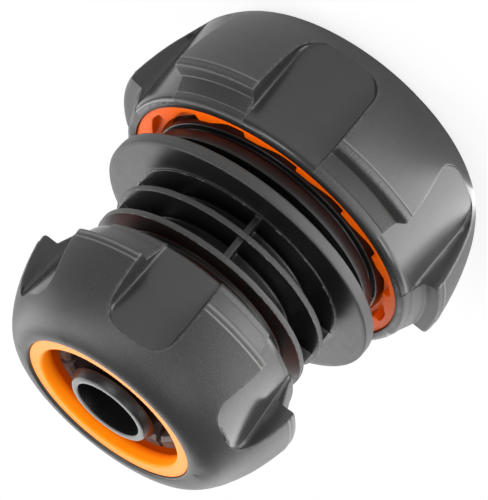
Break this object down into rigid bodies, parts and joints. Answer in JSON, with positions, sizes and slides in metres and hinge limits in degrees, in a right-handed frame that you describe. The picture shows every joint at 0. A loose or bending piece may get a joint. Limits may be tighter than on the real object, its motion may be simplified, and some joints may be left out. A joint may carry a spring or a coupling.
{
  "type": "reducing hose mender",
  "caption": "Reducing garden hose mender: a barbed moulded body with a slotted collet and a lugged, soft-gripped screw nut at each end.",
  "frame": {"origin": "centre of the large nut's front face, on the axis of the fitting, at the bottom of the part", "axes": "+Z along the axis of the fitting from the large end up to the small end; -Y is the side that the reference view shows"},
  "size_m": [0.0532, 0.053, 0.055],
  "materials": {
    "body_black": "black moulded plastic with a satin sheen",
    "collet_grey": "dark grey moulded plastic",
    "insert_orange": "bright orange moulded plastic",
    "grip_grey": "dark grey soft moulded grip with a fine matte grain"
  },
  "bodies": {
    "body": {"connector_body": "body_black"},
    "small_collet": {"small_collet": "collet_grey"},
    "small_nut": {"small_nut_insert": "insert_orange", "small_nut_grip": "grip_grey"},
    "large_collet": {"large_collet": "collet_grey"},
    "large_nut": {"large_nut_insert": "insert_orange", "large_nut_grip": "grip_grey"}
  },
  "joints": [
    {"name": "small_collet_slide", "type": "slide", "parent": "body", "child": "small_collet", "axis": [0, 0, 1], "range_m": [-0.0022, 0.005]},
    {"name": "small_nut_turn", "type": "hinge", "parent": "small_collet", "child": "small_nut", "pos_m": [0, 0, 0.055], "axis": [0, 0, 1], "range_deg": [-264, 600]},
    {"name": "large_collet_slide", "type": "slide", "parent": "body", "child": "large_collet", "axis": [0, 0, 1], "range_m": [-0.0076, 0.004]},
    {"name": "large_nut_turn", "type": "hinge", "parent": "large_collet", "child": "large_nut", "pos_m": [0, 0, 0], "axis": [0, 0, 1], "range_deg": [-684, 360]}
  ],
  "couplings": [
    {"joint": "small_collet_slide", "follows": "small_nut_turn", "m_per_rad": 0.00047746},
    {"joint": "large_collet_slide", "follows": "large_nut_turn", "m_per_rad": 0.00063661}
  ]
}
